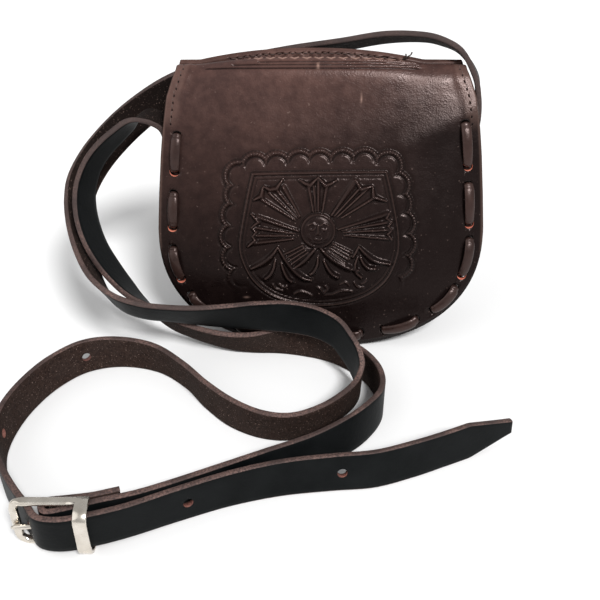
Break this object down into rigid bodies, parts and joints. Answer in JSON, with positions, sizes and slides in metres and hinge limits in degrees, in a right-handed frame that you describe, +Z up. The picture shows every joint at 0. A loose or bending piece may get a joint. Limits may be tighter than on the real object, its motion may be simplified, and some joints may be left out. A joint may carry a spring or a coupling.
{
  "type": "saddle bag",
  "caption": "Small leather saddle bag with a full-front tooled flap, laced edge and a long strap closed by a buckle, its loops lying in front.",
  "frame": {"origin": "middle of the bag's flat base, on the surface that the bag stands on", "axes": "+X to the bag's right seen from the front, -Y out of the flap's front, +Z up"},
  "size_m": [0.2579, 0.2509, 0.1622],
  "materials": {
    "leather_body": "smooth dark brown hide, semi-gloss",
    "leather_flap": "stamped dark brown hide, semi-gloss",
    "lace": "flat dark brown thong, semi-gloss",
    "strap_leather": "smooth near-black grain, rough brown flesh side",
    "buckle_metal": "bright nickel plate"
  },
  "bodies": {
    "root": {"gusset": "leather_body", "front_panel": "leather_body", "back_panel": "leather_body", "flap": "leather_flap", "flap_lace": "lace", "strap_long_upper": "strap_leather", "strap_long_arc": "strap_leather", "strap_long_loop": "strap_leather", "strap_long_front": "strap_leather", "strap_long_tail": "strap_leather", "strap_short_upper": "strap_leather", "strap_short_middle": "strap_leather", "strap_short_lower": "strap_leather", "buckle_frame": "buckle_metal", "buckle_prong": "buckle_metal"}
  },
  "joints": []
}
